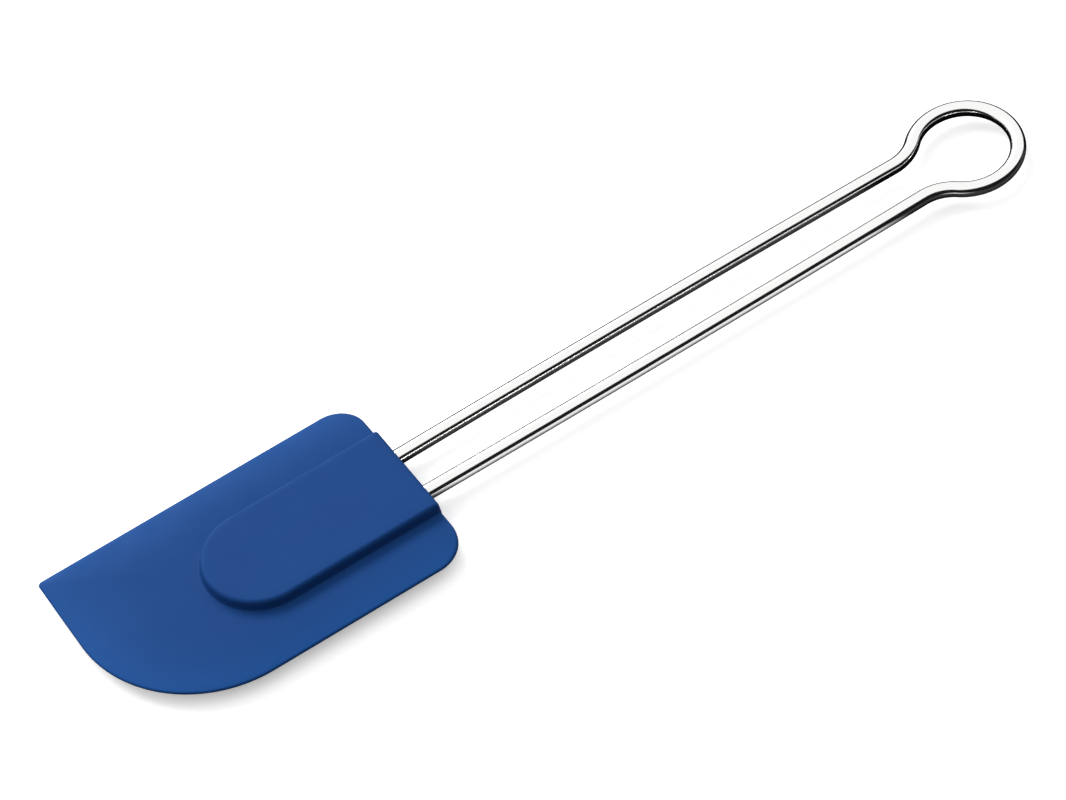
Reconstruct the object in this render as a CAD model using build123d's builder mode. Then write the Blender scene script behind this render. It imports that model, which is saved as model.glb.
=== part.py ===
from build123d import *
from math import atan2, cos, degrees, radians, sin, sqrt, tan
import os

# Kitchen scraper: a flexible silicone blade on a handle bent from one steel wire.
# Millimetres. +X runs from the blade to the hanging ring and +Z is up. The origin is under the
# middle of the whole tool, on the surface that the tool lies on.

# Wire handle, measured on the centre line of the wire
wire_diameter = 4.0
ring_radius = 13.2
ring_reach = 163.5            # rear of the head to the centre of the ring
neck_radius = 12.0            # bend between a leg and the ring
neck_half_spacing = 6.4       # handle axis to a leg, where its neck begins
leg_lean = 0.76               # degrees that each leg closes in towards its neck
leg_bow_radius = 6600.0       # the legs bow outwards by less than a millimetre
leg_depth = 45.0              # length of each leg buried in the head
groove_pitch = 7.0            # grooves that lock the legs in the core
groove_count = 3
groove_width = 2.0
groove_depth = 0.4

# Blade
head_length = 89.0            # front of the blade to the rear of the boss
boss_overhang = 0.4           # the boss stands this far out behind the blade
blade_width = 56.6
blade_root_thickness = 2.5
blade_rim_thickness = 0.9
near_rear_corner_radius = 9.2
far_rear_corner_radius = 8.0
front_edge_lean = 1.6         # degrees that the front edge falls back towards the sharp corner
sweep_corner_radius = 33.0    # the large corner that follows a bowl
sharp_corner_radius = 1.2     # the corner that reaches into an edge
rim_chamfer = 0.25

# Boss on both faces of the blade
boss_thickness = 8.0
boss_width = 29.3
boss_length = 57.0
boss_draft = 6.0              # degrees
boss_edge_rounding = 1.2

# Stiff core inside the boss
core_thickness = 5.6
core_width = 25.0
core_rear_skin = 1.6          # silicone behind the core
core_front_skin = 2.2         # silicone ahead of the core
core_edge_rounding = 0.8
window_diameter = 5.0         # silicone runs through these and locks the two mouldings
window_pitch = 13.0
window_count = 3

# Flex line, where the bending blade is split into two rigid pieces
flex_reach = 63.0             # rear of the head to the flex line
knuckle_radius = 0.9          # round rear of the front piece, about the flex line
socket_radius = 1.4           # hollow that clears the knuckle and the front piece's rear edges

# Places that follow from the dimensions above
overall_length = head_length + ring_reach + ring_radius + wire_diameter / 2
blade_front_x = -overall_length / 2
head_rear_x = blade_front_x + head_length
blade_rear_x = head_rear_x - boss_overhang
boss_front_x = head_rear_x - boss_length
ring_centre_x = head_rear_x + ring_reach
middle_height = boss_thickness / 2
flex_line_x = head_rear_x - flex_reach

# Planes through the middle of the tool's thickness
MIDDLE_PLANE = Plane.XY.offset(middle_height)
LONG_SECTION = Plane(origin=(0, 0, middle_height), x_dir=(1, 0, 0), z_dir=(0, -1, 0))
CROSS_SECTION = Plane(origin=(0, 0, middle_height), x_dir=(0, 1, 0), z_dir=(1, 0, 0))


def stadium(rear_x, front_x, width):
    """Add a strip from rear_x to front_x, square at the rear and round at the front."""
    round_centre_x = front_x + width / 2
    with Locations(((rear_x + round_centre_x) / 2, 0)):
        Rectangle(rear_x - round_centre_x, width)
    with Locations((round_centre_x, 0)):
        Circle(width / 2)


def front_edge_x(y):
    """Where the line of the blade's front edge is at y, touching the sweep corner's arc."""
    slope = tan(radians(front_edge_lean))
    past_arc_centre = y + blade_width / 2 - sweep_corner_radius
    arc_set_back = sweep_corner_radius * (1 / cos(radians(front_edge_lean)) - 1)
    return blade_front_x - arc_set_back + past_arc_centre * slope


def lip_outline(rear_radius):
    """Add the side view of all that is ahead of the flex line, with a round rear."""
    lip_length = flex_line_x - raw_corner_x
    with Locations((raw_corner_x + lip_length / 2, 0)):
        Rectangle(lip_length, boss_thickness)
    with Locations((flex_line_x, 0)):
        Circle(rear_radius)


# Wire handle: leg, neck and half the ring, mirrored to make the whole wire
lean = radians(leg_lean)
neck_centre_y = neck_half_spacing + neck_radius * cos(lean)
neck_centre_x = ring_centre_x - sqrt((ring_radius + neck_radius) ** 2 - neck_centre_y**2)
neck_start = (neck_centre_x - neck_radius * sin(lean), neck_half_spacing)
leg_length = neck_start[0] - head_rear_x + leg_depth
leg_turn = degrees(leg_length / leg_bow_radius)
ring_turn = degrees(atan2(neck_centre_y, neck_centre_x - ring_centre_x))
neck_turn = ring_turn - 90 + leg_lean

with BuildPart() as wire_handle:
    with BuildLine(MIDDLE_PLANE) as wire_path:
        JernArc(neck_start, (-cos(lean), sin(lean)), leg_bow_radius, leg_turn)
        neck = JernArc(neck_start, (cos(lean), -sin(lean)), neck_radius, neck_turn)
        JernArc(neck @ 1, neck % 1, ring_radius, -ring_turn)
        mirror(about=Plane.XZ)
    centre_line = wire_path.wire()
    with BuildSketch(Plane(origin=centre_line @ 0, z_dir=centre_line % 0)):
        Circle(wire_diameter / 2)
    sweep(path=centre_line)
    for step in range(1, groove_count + 1):
        share = step * groove_pitch / centre_line.length
        for place in (share, 1 - share):
            with BuildSketch(Plane(origin=centre_line @ place, z_dir=centre_line % place)):
                Circle(wire_diameter / 2 + groove_depth)
                Circle(wire_diameter / 2 - groove_depth, mode=Mode.SUBTRACT)
            extrude(amount=groove_width / 2, both=True, mode=Mode.SUBTRACT)
wire_handle.part.label = "wire_handle"

# Core insert, moulded round the buried ends of the wire
with BuildPart() as core_insert:
    with BuildSketch(MIDDLE_PLANE):
        stadium(head_rear_x - core_rear_skin, boss_front_x + core_front_skin, core_width)
    extrude(amount=core_thickness / 2, both=True)
    core_faces = faces().filter_by(Axis.Z)
    fillet(core_faces.edges(), radius=core_edge_rounding)
    with Locations(Plane((head_rear_x - boss_length / 2, 0, middle_height))):
        with GridLocations(window_pitch, 1, window_count, 1):
            Hole(window_diameter / 2)
    add(wire_handle.part, mode=Mode.SUBTRACT)
core_insert.part.label = "core_insert"

# Blade before it is split: an outline, thinned towards its front and its sides
raw_corner_x = front_edge_x(-blade_width / 2)
with BuildPart() as blade_blank:
    with BuildSketch(MIDDLE_PLANE):
        with BuildLine():
            Polyline(
                (blade_rear_x, -blade_width / 2),
                (raw_corner_x, -blade_width / 2),
                (front_edge_x(blade_width / 2), blade_width / 2),
                (blade_rear_x, blade_width / 2),
                close=True,
            )
        make_face()
        fillet(vertices().group_by(Axis.X)[-1].sort_by(Axis.Y)[0], radius=near_rear_corner_radius)
        fillet(vertices().group_by(Axis.X)[-1].sort_by(Axis.Y)[-1], radius=far_rear_corner_radius)
        fillet(vertices().sort_by(Axis.X)[1], radius=sharp_corner_radius)
        fillet(vertices().sort_by(Axis.X)[0], radius=sweep_corner_radius)
    extrude(amount=blade_root_thickness / 2, both=True)
    with BuildSketch(LONG_SECTION):
        with BuildLine():
            Polyline(
                (blade_rear_x, 0),
                (blade_rear_x, blade_root_thickness / 2),
                (boss_front_x, blade_root_thickness / 2),
                (raw_corner_x, blade_rim_thickness / 2),
                (raw_corner_x, 0),
                close=True,
            )
        make_face()
        mirror(about=Plane.XZ)
    extrude(amount=blade_width / 2, both=True, mode=Mode.INTERSECT)
    with BuildSketch(CROSS_SECTION):
        with BuildLine():
            Polyline(
                (0, 0),
                (0, blade_root_thickness / 2),
                (boss_width / 2, blade_root_thickness / 2),
                (blade_width / 2, blade_rim_thickness / 2),
                (blade_width / 2, 0),
                close=True,
            )
        make_face()
        mirror(about=Plane.XZ)
        mirror(about=Plane.YZ)
    extrude(amount=overall_length / 2, both=True, mode=Mode.INTERSECT)
    outline_faces = faces().filter_by(lambda face: abs(face.normal_at().Z) < 0.1)
    rim_edges = outline_faces.edges() - edges().filter_by(Axis.Z)
    chamfer(rim_edges, length=rim_chamfer)

# Silicone head: the blade's root with a boss on both faces, moulded over the core and the wire
with BuildPart() as silicone_head:
    with BuildSketch(MIDDLE_PLANE):
        stadium(head_rear_x, boss_front_x, boss_width)
    extrude(amount=boss_thickness / 2, taper=boss_draft)
    fillet(faces().sort_by(Axis.Z)[-1].edges(), radius=boss_edge_rounding)
    mirror(about=MIDDLE_PLANE)
    add(blade_blank.part)
    with BuildSketch(LONG_SECTION):
        lip_outline(socket_radius)
    extrude(amount=blade_width, both=True, mode=Mode.SUBTRACT)
    add(core_insert.part, mode=Mode.SUBTRACT)
    add(wire_handle.part, mode=Mode.SUBTRACT)
silicone_head.part.label = "silicone_head"

# Blade lip: the front of the same moulding, which bends about the flex line
with BuildPart() as blade_lip:
    add(blade_blank.part)
    with BuildSketch(LONG_SECTION):
        lip_outline(knuckle_radius)
    extrude(amount=blade_width, both=True, mode=Mode.INTERSECT)
blade_lip.part.label = "blade_lip"

os.makedirs("parts", exist_ok=True)
for piece in (wire_handle, core_insert, silicone_head, blade_lip):
    export_step(piece.part, f"parts/{piece.part.label}.step")
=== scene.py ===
from math import acos, atan2, cos, pi, radians, sin, sqrt, tan

import bmesh
import bpy
import numpy as np
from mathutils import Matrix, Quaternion, Vector


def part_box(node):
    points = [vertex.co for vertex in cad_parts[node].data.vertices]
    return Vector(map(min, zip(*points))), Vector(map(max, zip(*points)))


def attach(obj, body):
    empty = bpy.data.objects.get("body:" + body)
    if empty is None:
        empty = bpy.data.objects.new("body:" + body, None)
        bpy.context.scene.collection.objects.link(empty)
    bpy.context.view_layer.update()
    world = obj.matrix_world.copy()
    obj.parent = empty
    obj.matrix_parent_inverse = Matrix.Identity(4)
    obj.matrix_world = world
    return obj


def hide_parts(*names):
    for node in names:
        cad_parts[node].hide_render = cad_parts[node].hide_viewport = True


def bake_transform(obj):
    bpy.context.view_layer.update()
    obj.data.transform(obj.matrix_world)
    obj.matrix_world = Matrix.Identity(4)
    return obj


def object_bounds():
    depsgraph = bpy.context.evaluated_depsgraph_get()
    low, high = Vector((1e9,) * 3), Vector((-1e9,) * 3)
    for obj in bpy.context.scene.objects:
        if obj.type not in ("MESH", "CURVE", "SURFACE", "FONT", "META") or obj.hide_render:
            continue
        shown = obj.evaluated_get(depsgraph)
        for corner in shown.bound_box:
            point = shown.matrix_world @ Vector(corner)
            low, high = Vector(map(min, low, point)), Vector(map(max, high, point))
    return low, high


# Kitchen scraper: a flexible silicone blade on a handle bent from one polished steel wire.
# Metres, in the frame of the CAD model: +X runs from the blade to the hanging ring, +Z is up.

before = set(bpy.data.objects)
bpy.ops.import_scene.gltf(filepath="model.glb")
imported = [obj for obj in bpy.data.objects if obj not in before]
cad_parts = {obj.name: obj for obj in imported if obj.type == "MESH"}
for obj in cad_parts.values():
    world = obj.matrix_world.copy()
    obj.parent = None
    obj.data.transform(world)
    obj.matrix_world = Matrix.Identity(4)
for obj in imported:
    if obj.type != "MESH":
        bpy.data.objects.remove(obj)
cad_low, cad_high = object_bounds()

MM = 0.001
WELD_DISTANCE = 0.002 * MM
TINY = 0.0001 * MM               # keeps the boss's innermost loop from closing to nothing
TINY_SQUARED = 1e-18             # least squared length to divide by

# ---------------------------------------------------------------- places taken from the frame
head_low, head_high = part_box("silicone_head")
lip_low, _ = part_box("blade_lip")
wire_low, wire_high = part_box("wire_handle")

boss_rear_x = head_high.x
blade_front_x = lip_low.x
half_width = head_high.y
middle_z = (head_low.z + head_high.z) / 2
boss_half_thickness = (head_high.z - head_low.z) / 2
wire_radius = (wire_high.z - wire_low.z) / 2
ring_radius = wire_high.y - wire_radius
ring_centre_x = cad_high.x - wire_high.y
wire_end_x = wire_low.x

# ---------------------------------------------------------------- sizes of the silicone moulding
BOSS_OVERHANG = 0.4 * MM        # the boss stands this far out behind the blade
BOSS_HALF_WIDTH = 14.65 * MM
BOSS_LENGTH = 57.0 * MM
BOSS_CORNER = 1.2 * MM          # upright corners at the rear of the boss
BOSS_EDGE = 1.2 * MM            # rounding round the top of the boss
BOSS_DRAFT = radians(6.0)
FOOT_FILLET = 0.5 * MM          # where the boss meets the blade
ROOT_HALF_THICKNESS = 1.25 * MM
RIM_HALF_THICKNESS = 0.45 * MM
RIM_ROUNDING = 0.5 * MM
THINNING_POWER = 2.2            # above 1 the blade's faces are crowned
NEAR_REAR_CORNER = 9.2 * MM
FAR_REAR_CORNER = 8.0 * MM
SWEEP_CORNER = 33.0 * MM
SHARP_CORNER = 1.2 * MM
FRONT_LEAN = radians(1.6)       # the front edge falls back towards the sharp corner

# How finely the moulding is divided
RIM_SHARES = (0.0, 0.06, 0.2, 0.45, 0.75, 1.1)   # rows near the rim, in rim roundings
REAR_CORNER_COLUMNS = 13
SIDE_COLUMNS = 34
NEAR_SIDE_STEPS = 15
SWEEP_STEPS = 52
FRONT_STEPS = 22
SHARP_STEPS = 10
FAR_SIDE_STEPS = 45
BOSS_CORNER_POINTS = 6
BOSS_REAR_STEPS = 26
BLADE_ROWS = 16
BOSS_TOP_ROWS = 9
BOSS_EDGE_ROWS = 9
BOSS_WALL_SHARES = (0.33, 0.67, 1.0)
FOOT_ROWS = 6

# ---------------------------------------------------------------- sizes of the wire
NECK_RADIUS = 12.0 * MM
NECK_HALF_SPACING = 6.4 * MM
LEG_LEAN = radians(0.76)
LEG_BOW_RADIUS = 6600.0 * MM
WIRE_TIP = 1.0 * MM             # length of the domed ends inside the boss
WIRE_SIDES = 48
LEG_STEPS = 60
NECK_STEPS = 24
RING_STEPS = 72
TIP_ANGLES = (30, 60, 90)       # degrees, where the domed ends have rings

blade_rear_x = boss_rear_x - BOSS_OVERHANG
nose_centre_x = boss_rear_x - BOSS_LENGTH + BOSS_HALF_WIDTH


# ---------------------------------------------------------------- mesh building
class Surface:
    """Collects grids of points as quads, and welds them into one closed mesh.

    Each point also carries its place on the surface, which the materials' textures follow.
    """

    def __init__(self):
        self.points = []
        self.places = []
        self.quads = []

    def grid(self, rows, places=None, closed=False):
        """Add quads between rows of points; closed joins the last column to the first."""
        rows = np.asarray(rows, float)
        places = rows if places is None else np.asarray(places, float)
        n_rows, n_columns = rows.shape[:2]
        start = sum(len(block) for block in self.points)
        self.points.append(rows.reshape(-1, 3))
        self.places.append(places.reshape(-1, 3))
        last = n_columns if closed else n_columns - 1
        for r in range(n_rows - 1):
            for c in range(last):
                this_row = start + r * n_columns
                next_row = this_row + n_columns
                d = (c + 1) % n_columns
                self.quads.append([this_row + c, this_row + d, next_row + d, next_row + c])

    def build(self, name):
        """Weld the grids and return them as a smooth-shaded object."""
        mesh = bpy.data.meshes.new(name)
        mesh.from_pydata(np.concatenate(self.points).tolist(), [], self.quads)
        place = mesh.attributes.new("surface_place", "FLOAT_VECTOR", "POINT")
        place.data.foreach_set("vector", np.concatenate(self.places).ravel())
        solid = bpy.data.objects.new(name, mesh)
        bpy.context.scene.collection.objects.link(solid)
        welder = bmesh.new()
        welder.from_mesh(mesh)
        bmesh.ops.remove_doubles(welder, verts=welder.verts, dist=WELD_DISTANCE)
        bmesh.ops.dissolve_degenerate(welder, edges=welder.edges, dist=WELD_DISTANCE / 2)
        bmesh.ops.recalc_face_normals(welder, faces=welder.faces)
        welder.to_mesh(mesh)
        welder.free()
        mesh.shade_smooth()
        return solid


def arc(centre, radius, start, end, steps):
    """Points on an arc in plan, both ends included; angles in radians from +X."""
    return [
        (centre[0] + radius * cos(a), centre[1] + radius * sin(a))
        for a in np.linspace(start, end, steps + 1)
    ]


def line(start, end, steps):
    """Points on a straight line in plan, both ends included."""
    return [tuple(p) for p in np.linspace(start, end, steps + 1)]


# ---------------------------------------------------------------- plan of the silicone moulding
# Columns run round the boss from the near rear corner, past the nose, to the far rear corner.
# The near side is -Y. Each column joins a point on the boss to a point on the blade's outline.
rim_steps = [share * RIM_ROUNDING for share in RIM_SHARES]
corner_steps = rim_steps + [BOSS_CORNER - BOSS_OVERHANG]
rear_arc_start = acos(1 - corner_steps[-1] / NEAR_REAR_CORNER)
rear_arc_angles = list(np.linspace(rear_arc_start, pi / 2, REAR_CORNER_COLUMNS))[1:]
rear_arc_x = [blade_rear_x - step for step in corner_steps]
rear_arc_x += [blade_rear_x - NEAR_REAR_CORNER * (1 - cos(a)) for a in rear_arc_angles]
side_x = list(np.linspace(rear_arc_x[-1], nose_centre_x, SIDE_COLUMNS))[1:]
column_x = rear_arc_x + side_x


def outline_side(sign):
    """The blade's outline beside the boss, from its rear edge to the centre of the nose."""
    corner = FAR_REAR_CORNER if sign > 0 else NEAR_REAR_CORNER
    points = []
    for x in column_x:
        cut = max(corner - (blade_rear_x - x), 0)
        points.append((x, sign * (half_width - corner + sqrt(corner**2 - cut**2))))
    return points


sweep_centre = (blade_front_x + SWEEP_CORNER, SWEEP_CORNER - half_width)
front_start = (
    sweep_centre[0] - SWEEP_CORNER * cos(FRONT_LEAN),
    sweep_centre[1] + SWEEP_CORNER * sin(FRONT_LEAN),
)
sharp_centre_y = half_width - SHARP_CORNER
sharp_centre_x = front_start[0] + (sharp_centre_y - front_start[1]) * tan(FRONT_LEAN)
sharp_centre = (sharp_centre_x + SHARP_CORNER / cos(FRONT_LEAN), sharp_centre_y)
front_end = (
    sharp_centre[0] - SHARP_CORNER * cos(FRONT_LEAN),
    sharp_centre[1] + SHARP_CORNER * sin(FRONT_LEAN),
)
front_pieces = [
    line((nose_centre_x, -half_width), (sweep_centre[0], -half_width), NEAR_SIDE_STEPS),
    arc(sweep_centre, SWEEP_CORNER, -pi / 2, -pi - FRONT_LEAN, SWEEP_STEPS),
    line(front_start, front_end, FRONT_STEPS),
    arc(sharp_centre, SHARP_CORNER, -pi - FRONT_LEAN, -1.5 * pi, SHARP_STEPS),
    line((sharp_centre[0], half_width), (nose_centre_x, half_width), FAR_SIDE_STEPS),
]
outline_front = [point for piece in front_pieces for point in piece[1:]]
nose_angles = [atan2(y, x - nose_centre_x) % (2 * pi) for x, y in outline_front]
outline = np.array(outline_side(-1) + outline_front + outline_side(1)[::-1][1:])
open_columns = len(outline)


def stadium_corner(inset, angle, sign):
    """A point of the boss's upright rear corner, at an angle from straight back."""
    centre = (boss_rear_x - BOSS_CORNER, sign * (BOSS_HALF_WIDTH - BOSS_CORNER))
    reach = BOSS_CORNER - inset
    if reach < 0:
        return (centre[0] + reach, centre[1] + sign * reach)
    return (centre[0] + reach * cos(angle), centre[1] + sign * reach * sin(angle))


def stadium_side(inset, sign):
    """The boss's side in plan, from where it meets the blade's rear edge to the nose."""
    points = []
    straight_start = boss_rear_x - max(BOSS_CORNER, inset)
    for x in column_x:
        back = x - (boss_rear_x - BOSS_CORNER)
        if back > 0:
            points.append(stadium_corner(inset, acos(back / BOSS_CORNER), sign))
        else:
            share = back / (nose_centre_x - (boss_rear_x - BOSS_CORNER))
            along = straight_start + share * (nose_centre_x - straight_start)
            points.append((along, sign * (BOSS_HALF_WIDTH - inset)))
    return points


def stadium_nose(inset):
    """The round front of the boss, at the angles that the outline's points set."""
    radius = BOSS_HALF_WIDTH - inset
    return [(nose_centre_x + radius * cos(a), radius * sin(a)) for a in nose_angles]


def stadium_rear(inset):
    """The rear of the boss, from the far corner to the near one, ends left out."""
    join_angle = acos(1 - BOSS_OVERHANG / BOSS_CORNER)
    corner_angles = list(np.linspace(join_angle, 0, BOSS_CORNER_POINTS))
    half = BOSS_HALF_WIDTH - max(BOSS_CORNER, inset)
    points = [stadium_corner(inset, a, 1) for a in corner_angles[1:]]
    rear_x = boss_rear_x - inset
    points += line((rear_x, half), (rear_x, -half), BOSS_REAR_STEPS)[1:]
    points += [stadium_corner(inset, a, -1) for a in corner_angles[::-1][1:-1]]
    return points


def stadium_loop(inset):
    """The whole boss in plan, as a closed loop."""
    front = stadium_side(inset, -1) + stadium_nose(inset) + stadium_side(inset, 1)[::-1][1:]
    return np.array(front + stadium_rear(inset))


# ---------------------------------------------------------------- heights of the silicone moulding
def distance_to_outline(points):
    """Distance in plan from each point to the blade's outline, rear edge included."""
    ring = np.vstack([outline, outline[:1]])
    starts, steps = ring[:-1], np.diff(ring, axis=0)
    nearest = np.full(len(points), np.inf)
    for start, step in zip(starts, steps):
        length_squared = max(step @ step, TINY_SQUARED)
        along = np.clip(((points - start) @ step) / length_squared, 0, 1)
        gap = points - (start + along[:, None] * step)
        nearest = np.minimum(nearest, np.hypot(gap[:, 0], gap[:, 1]))
    return nearest


def blade_height(points, share_out):
    """Half thickness of the blade; share_out is 0 at the boss and 1 at the outline."""
    beside_boss = points[:, 0] > nose_centre_x
    sideways = (np.abs(points[:, 1]) - BOSS_HALF_WIDTH) / (half_width - BOSS_HALF_WIDTH)
    share = np.where(beside_boss, np.clip(sideways, 0, 1), share_out)
    crown = ROOT_HALF_THICKNESS - RIM_HALF_THICKNESS
    height = RIM_HALF_THICKNESS + crown * (1 - share**THINNING_POWER)
    into_rounding = 1 - np.clip(distance_to_outline(points) / RIM_ROUNDING, 0, 1)
    return height * np.sqrt(1 - into_rounding**2)


def foot_fade(points):
    """1 where the boss stands on the blade, falling to 0 at the blade's rear edge."""
    t = np.clip((blade_rear_x - points[:, 0]) / (2 * FOOT_FILLET), 0, 1)
    return t * t * (3 - 2 * t)


def blade_rows():
    """Plan points and heights of the blade's upper face, from the boss's foot to the outline."""
    base = stadium_loop(0.0)[:open_columns]
    fillet = FOOT_FILLET * foot_fade(base)
    wide = stadium_loop(-FOOT_FILLET)[:open_columns]
    foot = base + (wide - base) * (fillet / FOOT_FILLET)[:, None]
    reach = outline - foot
    length = np.hypot(reach[:, 0], reach[:, 1])
    near_rim = np.array(rim_steps)[::-1]
    shares = [np.clip(1 - step / length, 0, 1) for step in near_rim]
    inner = [k / BLADE_ROWS * shares[0] for k in range(BLADE_ROWS)]
    rows = []
    for share in inner + shares:
        plan = foot + reach * share[:, None]
        rows.append(np.column_stack([plan, blade_height(plan, share)]))
    return rows, fillet


def boss_rows(foot_row, fillet):
    """The boss's upper half, from its flat top down to the blade, and behind it to the middle."""
    count = len(stadium_loop(0.0))
    base_height = np.zeros(count)
    base_height[:open_columns] = foot_row[:, 2]
    round_foot = np.zeros(count)
    round_foot[:open_columns] = fillet
    top = boss_half_thickness
    wall_top = top - BOSS_EDGE * (1 - sin(BOSS_DRAFT))
    wall_inset = wall_top * tan(BOSS_DRAFT)
    edge_centre = wall_inset + BOSS_EDGE * cos(BOSS_DRAFT)
    rows = []
    deepest = BOSS_HALF_WIDTH - TINY
    for inset in np.linspace(deepest, edge_centre, BOSS_TOP_ROWS)[:-1]:
        rows.append(np.column_stack([stadium_loop(inset), np.full(count, top)]))
    for angle in np.linspace(pi / 2, BOSS_DRAFT, BOSS_EDGE_ROWS):
        plan = stadium_loop(edge_centre - BOSS_EDGE * cos(angle))
        height = top - BOSS_EDGE * (1 - sin(angle))
        rows.append(np.column_stack([plan, np.full(count, height)]))
    upper, lower = stadium_loop(wall_inset), stadium_loop(0.0)
    foot_top = base_height + round_foot
    for share in BOSS_WALL_SHARES:
        plan = upper + (lower - upper) * share
        rows.append(np.column_stack([plan, wall_top + (foot_top - wall_top) * share]))
    wide = stadium_loop(-FOOT_FILLET)
    for angle in np.linspace(0, pi / 2, FOOT_ROWS)[1:]:
        out = (round_foot / FOOT_FILLET) * (1 - cos(angle))
        plan = lower + (wide - lower) * out[:, None]
        rows.append(np.column_stack([plan, base_height + round_foot * (1 - sin(angle))]))
    return rows


def silicone_moulding():
    """The blade with a boss on both faces, as one closed mesh."""
    surface = Surface()
    blade, fillet = blade_rows()
    boss = boss_rows(blade[0], fillet)
    for face in (1, -1):
        flip = np.array([1, 1, face])
        lift = np.array([0, 0, middle_z])
        surface.grid([row * flip + lift for row in blade])
        surface.grid([row * flip + lift for row in boss], closed=True)
    return surface.build("silicone_moulding")


# ---------------------------------------------------------------- wire
def wire_half_path():
    """Centre line from the buried tip of the far leg to the end of the ring, with directions."""
    neck_centre_y = NECK_HALF_SPACING + NECK_RADIUS * cos(LEG_LEAN)
    across = ring_radius + NECK_RADIUS
    neck_centre_x = ring_centre_x - sqrt(across**2 - neck_centre_y**2)
    neck_start = (neck_centre_x - NECK_RADIUS * sin(LEG_LEAN), NECK_HALF_SPACING)
    ring_angle = atan2(neck_centre_y, neck_centre_x - ring_centre_x)
    bow_centre = (
        neck_start[0] - LEG_BOW_RADIUS * sin(LEG_LEAN),
        neck_start[1] - LEG_BOW_RADIUS * cos(LEG_LEAN),
    )
    leg_turn = (neck_start[0] - wire_end_x - WIRE_TIP) / LEG_BOW_RADIUS
    leg_end = pi / 2 - LEG_LEAN
    leg = arc(bow_centre, LEG_BOW_RADIUS, leg_end + leg_turn, leg_end, LEG_STEPS)
    neck_centre = (neck_centre_x, neck_centre_y)
    neck_from = -pi / 2 - LEG_LEAN
    neck = arc(neck_centre, NECK_RADIUS, neck_from, ring_angle - pi, NECK_STEPS)
    ring = arc((ring_centre_x, 0.0), ring_radius, ring_angle, 0.0, RING_STEPS)
    return leg + neck[1:] + ring[1:]


def tube_ring(centre, outward, radius, back=(0.0, 0.0)):
    """Points round the wire at one place of its centre line, set back for a tip."""
    ring = []
    for a in np.linspace(0, 2 * pi, WIRE_SIDES, endpoint=False):
        plan = centre + outward * radius * cos(a) + np.array(back)
        ring.append((plan[0], plan[1], middle_z + radius * sin(a)))
    return ring


def unrolled_ring(along):
    """The same points as places: the length along the wire, and the round section."""
    angles = np.linspace(0, 2 * pi, WIRE_SIDES, endpoint=False)
    return [(along, wire_radius * cos(a), wire_radius * sin(a)) for a in angles]


def polished_wire():
    """The handle's wire as one closed tube, with both buried tips domed."""
    half = wire_half_path()
    path = np.array(half + [(x, -y) for x, y in half[::-1][1:]])
    step = np.gradient(path, axis=0)
    step /= np.hypot(step[:, 0], step[:, 1])[:, None]
    outward = np.column_stack([-step[:, 1], step[:, 0]])
    along = np.concatenate([[0], np.cumsum(np.hypot(*np.diff(path, axis=0).T))])
    rings = [tube_ring(point, side, wire_radius) for point, side in zip(path, outward)]
    places = [unrolled_ring(length) for length in along]
    dome = [radians(a) for a in TIP_ANGLES]
    for a in dome:
        back = step[0] * WIRE_TIP * sin(a)
        rings.insert(0, tube_ring(path[0], outward[0], wire_radius * cos(a), -back))
        places.insert(0, unrolled_ring(-WIRE_TIP * sin(a)))
    for a in dome:
        ahead = step[-1] * WIRE_TIP * sin(a)
        rings.append(tube_ring(path[-1], outward[-1], wire_radius * cos(a), ahead))
        places.append(unrolled_ring(along[-1] + WIRE_TIP * sin(a)))
    surface = Surface()
    surface.grid(rings, places, closed=True)
    return surface.build("polished_wire")


# ---------------------------------------------------------------- materials
# Scales are in features per metre, and each range of roughness is its lowest and highest.
# The blade's colour runs from the thick blue at the root to a lighter blue at the thin rims. The
# lighter end is painted light: it stands in for light shining through the thin silicone.
SILICONE_THICK = (0.009, 0.0465, 0.176, 1)
SILICONE_THIN_PAINTED_GLOW = (0.0105, 0.0625, 0.228, 1)
SILICONE_GLOSS = 0.1
SILICONE_GLOSS_TINT = (0.15, 0.35, 1.0, 1)
SILICONE_CLOUD_SCALE = 70.0
SILICONE_CLOUD = (0.97, 1.03)
SILICONE_SHEEN_SCALE = 160.0
SILICONE_ROUGHNESS = (0.46, 0.56)
SILICONE_GRAIN_SCALE = 2600.0
SILICONE_GRAIN_DEPTH = 0.01 * MM
SILICONE_GRAIN_STRENGTH = 0.35
STEEL_COLOUR = (0.92, 0.92, 0.91, 1)
STEEL_LINE_STRETCH = (0.012, 1, 1)   # the drawn lines run along the wire
STEEL_LINE_SCALE = 5200.0
STEEL_LINE_DETAIL = 3.0
STEEL_ROUGHNESS = (0.08, 0.14)
STEEL_LINE_DEPTH = 0.002 * MM
STEEL_LINE_STRENGTH = 0.15
CORE_DARK = (0.1, 0.1, 0.11, 1)
CORE_LIGHT = (0.14, 0.14, 0.15, 1)
CORE_CLOUD_SCALE = 300.0
CORE_GRAIN_SCALE = 2500.0
CORE_ROUGHNESS = (0.5, 0.7)
CORE_GRAIN_DEPTH = 0.02 * MM
CORE_GRAIN_STRENGTH = 0.4
NOISE_LOW = 0.3                 # nearly all of a noise texture lies between these two
NOISE_HIGH = 0.7


def new_material(name):
    """A material with its Principled shader, ready for more nodes."""
    material = bpy.data.materials.new(name)
    material.use_nodes = True
    return material, material.node_tree.nodes, material.node_tree.links


def texture_place(nodes, links, stretch):
    """The place on the surface, scaled by the three numbers of stretch."""
    place = nodes.new("ShaderNodeAttribute")
    place.attribute_name = "surface_place"
    scale = nodes.new("ShaderNodeVectorMath")
    scale.operation = "MULTIPLY"
    scale.inputs[1].default_value = stretch
    links.new(place.outputs["Vector"], scale.inputs[0])
    return scale.outputs["Vector"]


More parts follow.
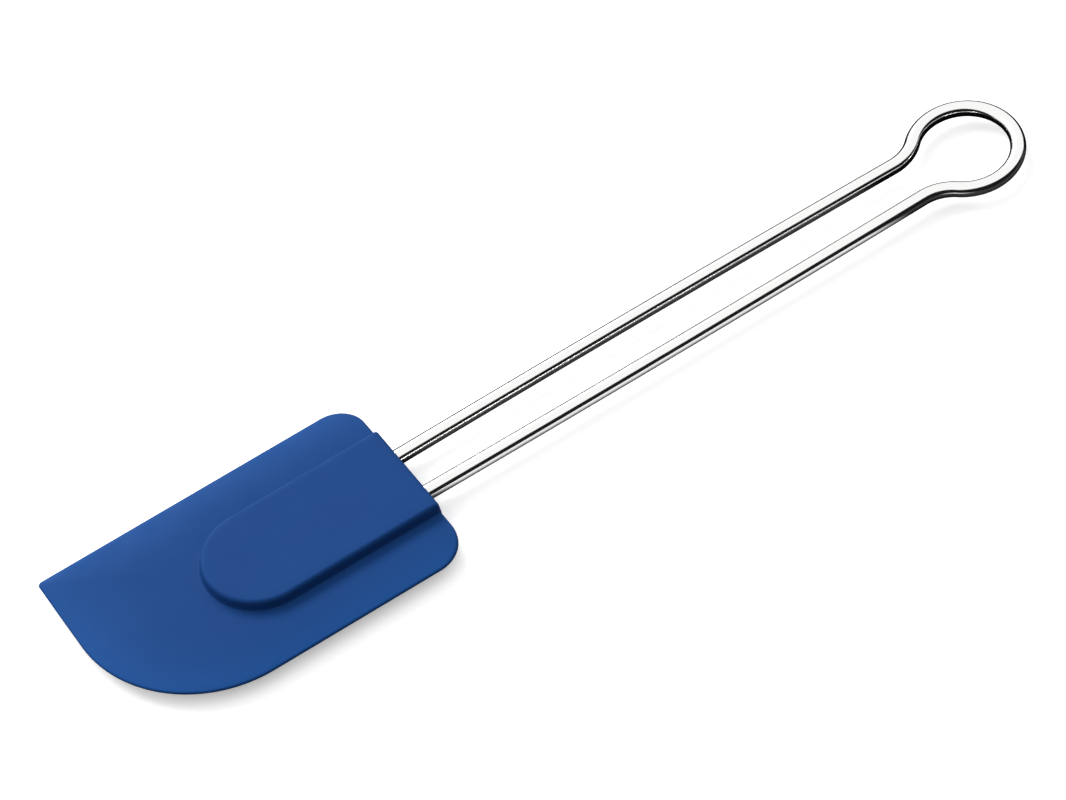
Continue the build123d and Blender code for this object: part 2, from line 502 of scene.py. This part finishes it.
def noise(nodes, links, vector, scale, detail=2.0):
    """A noise texture laid out by a vector."""
    texture = nodes.new("ShaderNodeTexNoise")
    texture.inputs["Scale"].default_value = scale
    texture.inputs["Detail"].default_value = detail
    links.new(vector, texture.inputs["Vector"])
    return texture.outputs["Fac"]


def vary(nodes, links, value, limits, target):
    """Feed a socket a value that swings between two limits with a texture."""
    swing = nodes.new("ShaderNodeMapRange")
    swing.inputs["From Min"].default_value = NOISE_LOW
    swing.inputs["From Max"].default_value = NOISE_HIGH
    swing.inputs["To Min"].default_value = limits[0]
    swing.inputs["To Max"].default_value = limits[1]
    links.new(value, swing.inputs["Value"])
    links.new(swing.outputs["Result"], target)


def add_bump(nodes, links, height, depth, strength):
    """Roughen the shader's surface a little by a height texture."""
    bump = nodes.new("ShaderNodeBump")
    bump.inputs["Distance"].default_value = depth
    bump.inputs["Strength"].default_value = strength
    links.new(height, bump.inputs["Height"])
    links.new(bump.outputs["Normal"], nodes["Principled BSDF"].inputs["Normal"])


def silicone_material():
    """Satin blue silicone with painted light: it is coloured lighter where the blade is thin,
    standing in for light shining through the silicone. It has the fine grain of its mould.
    """
    material, nodes, links = new_material("blue_silicone")
    shader = nodes["Principled BSDF"]
    shader.inputs["Specular IOR Level"].default_value = SILICONE_GLOSS
    shader.inputs["Specular Tint"].default_value = SILICONE_GLOSS_TINT
    place = texture_place(nodes, links, (1, 1, 1))
    parts = nodes.new("ShaderNodeSeparateXYZ")
    height = nodes.new("ShaderNodeMath")
    height.operation = "SUBTRACT"
    height.inputs[1].default_value = middle_z
    half_thickness = nodes.new("ShaderNodeMath")
    half_thickness.operation = "ABSOLUTE"
    # painted light: the colour turns lighter as the blade thins, standing in for light shining
    # through it
    painted_glow_share = nodes.new("ShaderNodeMapRange")
    painted_glow_share.inputs["From Min"].default_value = ROOT_HALF_THICKNESS
    painted_glow_share.inputs["From Max"].default_value = RIM_HALF_THICKNESS
    colour = nodes.new("ShaderNodeMix")
    colour.data_type = "RGBA"
    colour.inputs["A"].default_value = SILICONE_THICK
    colour.inputs["B"].default_value = SILICONE_THIN_PAINTED_GLOW
    cloud = nodes.new("ShaderNodeHueSaturation")
    links.new(place, parts.inputs["Vector"])
    links.new(parts.outputs["Z"], height.inputs[0])
    links.new(height.outputs["Value"], half_thickness.inputs[0])
    links.new(half_thickness.outputs["Value"], painted_glow_share.inputs["Value"])
    links.new(painted_glow_share.outputs["Result"], colour.inputs["Factor"])
    links.new(colour.outputs["Result"], cloud.inputs["Color"])
    links.new(cloud.outputs["Color"], shader.inputs["Base Color"])
    clouds = noise(nodes, links, place, SILICONE_CLOUD_SCALE)
    vary(nodes, links, clouds, SILICONE_CLOUD, cloud.inputs["Value"])
    sheen = noise(nodes, links, place, SILICONE_SHEEN_SCALE)
    vary(nodes, links, sheen, SILICONE_ROUGHNESS, shader.inputs["Roughness"])
    grain = noise(nodes, links, place, SILICONE_GRAIN_SCALE)
    add_bump(nodes, links, grain, SILICONE_GRAIN_DEPTH, SILICONE_GRAIN_STRENGTH)
    return material


def steel_material():
    """Polished stainless steel, with faint lines along the wire from drawing it."""
    material, nodes, links = new_material("polished_steel")
    shader = nodes["Principled BSDF"]
    shader.inputs["Base Color"].default_value = STEEL_COLOUR
    shader.inputs["Metallic"].default_value = 1.0
    along_wire = texture_place(nodes, links, STEEL_LINE_STRETCH)
    lines = noise(nodes, links, along_wire, STEEL_LINE_SCALE, STEEL_LINE_DETAIL)
    vary(nodes, links, lines, STEEL_ROUGHNESS, shader.inputs["Roughness"])
    add_bump(nodes, links, lines, STEEL_LINE_DEPTH, STEEL_LINE_STRENGTH)
    return material


def core_material():
    """Matt grey nylon, with a moulded grain."""
    material, nodes, links = new_material("core_nylon")
    shader = nodes["Principled BSDF"]
    place = nodes.new("ShaderNodeTexCoord").outputs["Object"]
    colour = nodes.new("ShaderNodeMix")
    colour.data_type = "RGBA"
    colour.inputs["A"].default_value = CORE_DARK
    colour.inputs["B"].default_value = CORE_LIGHT
    links.new(noise(nodes, links, place, CORE_CLOUD_SCALE), colour.inputs["Factor"])
    links.new(colour.outputs["Result"], shader.inputs["Base Color"])
    grain = noise(nodes, links, place, CORE_GRAIN_SCALE)
    vary(nodes, links, grain, CORE_ROUGHNESS, shader.inputs["Roughness"])
    add_bump(nodes, links, grain, CORE_GRAIN_DEPTH, CORE_GRAIN_STRENGTH)
    return material


def give(piece, material):
    """Make this the piece's only material."""
    piece.data.materials.clear()
    piece.data.materials.append(material)


# ---------------------------------------------------------------- the tool
moulding = silicone_moulding()
give(moulding, silicone_material())
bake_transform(moulding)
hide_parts("silicone_head", "blade_lip")

wire = polished_wire()
give(wire, steel_material())
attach(wire, "handle")
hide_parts("wire_handle")

give(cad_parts["core_insert"], core_material())

# ---------------------------------------------------------------- floor, light and camera
FLOOR_SIZE = 3.0
FLOOR_GAP = 0.05 * MM           # keeps the floor clear of the boss's flat underside
FLOOR_GLOW = 0.4
FLOOR_COLOUR = (0.9, 0.9, 0.9, 1)
FLOOR_ROUGHNESS = 0.9
CARD_DARK = 0.05                # tones of the floor as the tool's surfaces see it
CARD_PALE = 0.75
CARD_FADE_SHARE = 0.04          # share of the strip's reach over which its outer edge fades
CARD_NEAR_EDGE = 9.0 * MM
CARD_FAR_START = 13.0 * MM
CARD_FAR_EDGE = 60.0 * MM
CARD_MIDDLE_X = 27.0 * MM       # the strip runs beside the legs and stops before the ring
CARD_HALF_LENGTH = 71.0 * MM
CARD_END_FADE = 10.0 * MM
CAMERA_AIM = Vector((-9.2, 0.9, 4.0)) * MM
CAMERA_DISTANCE = 1.2776
CAMERA_ELEVATION = radians(51.147)
CAMERA_HEADING = radians(24.651)   # the view turns this far from +Y towards +X
CAMERA_ROLL = radians(10.887)
CAMERA_LENS = 179.03
CEILING_AXIS = Vector((0.1, 0.62, 0.775))
CEILING_EDGE = cos(radians(81.8))
CEILING_SOFTNESS = 0.03
CEILING_STRENGTH = 1.02
ROOM_STRENGTH = 0.01
HORIZON_DARK_TO = 0.12          # sine of the height where the white is full
HORIZON_SOFTNESS = 0.05
KEY_TURN = radians(10.0)        # from +Y towards -X
KEY_ELEVATION = radians(35.0)
KEY_DISTANCE = 1.5
KEY_WIDTH = 1.4
KEY_HEIGHT = 0.5
KEY_POWER = 23.0


def make_floor():
    """A wide pale sheet under the tool.

    The steel and the silicone see it as dark, with one pale strip along the near leg, the way
    a product studio with dark sides and one white card gives polished wire its lines.
    """
    mesh = bpy.data.meshes.new("floor")
    half = FLOOR_SIZE / 2
    z = -FLOOR_GAP
    corners = [(-half, -half, z), (half, -half, z), (half, half, z), (-half, half, z)]
    mesh.from_pydata(corners, [], [(0, 1, 2, 3)])
    floor = bpy.data.objects.new("floor", mesh)
    bpy.context.scene.collection.objects.link(floor)
    material, nodes, links = new_material("pale_floor")
    pale = nodes["Principled BSDF"]
    pale.inputs["Base Color"].default_value = FLOOR_COLOUR
    pale.inputs["Roughness"].default_value = FLOOR_ROUGHNESS
    pale.inputs["Specular IOR Level"].default_value = 0.0
    pale.inputs["Emission Color"].default_value = (1.0, 1.0, 1.0, 1)
    pale.inputs["Emission Strength"].default_value = FLOOR_GLOW
    place = nodes.new("ShaderNodeTexCoord")
    parts = nodes.new("ShaderNodeSeparateXYZ")
    tone = nodes.new("ShaderNodeValToRGB")
    across = nodes.new("ShaderNodeMapRange")
    across.inputs["From Min"].default_value = -CARD_FAR_EDGE
    across.inputs["From Max"].default_value = 0.0
    stops = tone.color_ramp.elements
    for end in (stops[0], stops[1]):
        end.color = (CARD_DARK, CARD_DARK, CARD_DARK, 1)
    for edge in (CARD_FADE_SHARE, 1 - CARD_FAR_START / CARD_FAR_EDGE):
        stop = stops.new(edge)
        stop.color = (CARD_PALE, CARD_PALE, CARD_PALE, 1)
    stops[3].position = 1 - CARD_NEAR_EDGE / CARD_FAR_EDGE
    bounce = nodes.new("ShaderNodeBsdfDiffuse")
    ray = nodes.new("ShaderNodeLightPath")
    choose = nodes.new("ShaderNodeMixShader")
    links.new(place.outputs["Object"], parts.inputs["Vector"])
    links.new(parts.outputs["Y"], across.inputs["Value"])
    links.new(across.outputs["Result"], tone.inputs["Fac"])
    along = nodes.new("ShaderNodeMath")
    along.operation = "SUBTRACT"
    along.inputs[1].default_value = CARD_MIDDLE_X
    from_middle = nodes.new("ShaderNodeMath")
    from_middle.operation = "ABSOLUTE"
    beside_legs = nodes.new("ShaderNodeMapRange")
    beside_legs.inputs["From Min"].default_value = CARD_HALF_LENGTH
    beside_legs.inputs["From Max"].default_value = CARD_HALF_LENGTH - CARD_END_FADE
    beside_legs.inputs["To Min"].default_value = CARD_DARK
    limit = nodes.new("ShaderNodeMath")
    limit.operation = "MULTIPLY"
    links.new(parts.outputs["X"], along.inputs[0])
    links.new(along.outputs["Value"], from_middle.inputs[0])
    links.new(from_middle.outputs["Value"], beside_legs.inputs["Value"])
    links.new(tone.outputs["Color"], limit.inputs[0])
    links.new(beside_legs.outputs["Result"], limit.inputs[1])
    links.new(limit.outputs["Value"], bounce.inputs["Color"])
    links.new(ray.outputs["Is Camera Ray"], choose.inputs["Fac"])
    links.new(bounce.outputs["BSDF"], choose.inputs[1])
    links.new(pale.outputs["BSDF"], choose.inputs[2])
    links.new(choose.outputs["Shader"], nodes["Material Output"].inputs["Surface"])
    floor.data.materials.append(material)


def make_world():
    """A large white ceiling that leans to the far side; the near side of the room is dark."""
    world = bpy.data.worlds.new("studio")
    bpy.context.scene.world = world
    world.use_nodes = True
    nodes, links = world.node_tree.nodes, world.node_tree.links
    nodes["Background"].inputs["Color"].default_value = (1.0, 1.0, 1.0, 1)
    place = nodes.new("ShaderNodeTexCoord")
    height = nodes.new("ShaderNodeSeparateXYZ")
    above = nodes.new("ShaderNodeMapRange")
    above.interpolation_type = "SMOOTHSTEP"
    above.inputs["From Min"].default_value = HORIZON_DARK_TO - HORIZON_SOFTNESS
    above.inputs["From Max"].default_value = HORIZON_DARK_TO
    both = nodes.new("ShaderNodeMath")
    both.operation = "MULTIPLY"
    links.new(place.outputs["Generated"], height.inputs["Vector"])
    links.new(height.outputs["Z"], above.inputs["Value"])
    tilt = nodes.new("ShaderNodeVectorMath")
    tilt.operation = "DOT_PRODUCT"
    tilt.inputs[1].default_value = CEILING_AXIS.normalized()
    ceiling = nodes.new("ShaderNodeMapRange")
    ceiling.interpolation_type = "SMOOTHSTEP"
    ceiling.inputs["From Min"].default_value = CEILING_EDGE - CEILING_SOFTNESS
    ceiling.inputs["From Max"].default_value = CEILING_EDGE + CEILING_SOFTNESS
    ceiling.inputs["To Min"].default_value = ROOM_STRENGTH
    ceiling.inputs["To Max"].default_value = CEILING_STRENGTH
    links.new(place.outputs["Generated"], tilt.inputs[0])
    links.new(tilt.outputs["Value"], ceiling.inputs["Value"])
    links.new(ceiling.outputs["Result"], both.inputs[0])
    links.new(above.outputs["Result"], both.inputs[1])
    links.new(both.outputs["Value"], nodes["Background"].inputs["Strength"])


def make_key_light():
    """A large soft light at the far side."""
    light = bpy.data.lights.new("key", "AREA")
    light.shape = "RECTANGLE"
    light.size = KEY_WIDTH
    light.size_y = KEY_HEIGHT
    light.energy = KEY_POWER
    key = bpy.data.objects.new("key", light)
    level = KEY_DISTANCE * cos(KEY_ELEVATION)
    key.location = (
        -level * sin(KEY_TURN),
        level * cos(KEY_TURN),
        KEY_DISTANCE * sin(KEY_ELEVATION),
    )
    key.rotation_mode = "QUATERNION"
    key.rotation_quaternion = (-key.location).to_track_quat("-Z", "Y")
    bpy.context.scene.collection.objects.link(key)


def make_camera():
    """A long lens, looking down on the tool and rolled a little."""
    data = bpy.data.cameras.new("camera")
    data.lens = CAMERA_LENS
    camera = bpy.data.objects.new("camera", data)
    level = cos(CAMERA_ELEVATION)
    ahead = (level * sin(CAMERA_HEADING), level * cos(CAMERA_HEADING), -sin(CAMERA_ELEVATION))
    look = Vector(ahead)
    camera.location = CAMERA_AIM - look * CAMERA_DISTANCE
    camera.rotation_mode = "QUATERNION"
    roll = Quaternion((0, 0, 1), -CAMERA_ROLL)
    camera.rotation_quaternion = look.to_track_quat("-Z", "Y") @ roll
    bpy.context.scene.collection.objects.link(camera)
    bpy.context.scene.camera = camera


make_floor()
make_world()
make_key_light()
make_camera()
bpy.context.scene.view_settings.view_transform = "Standard"
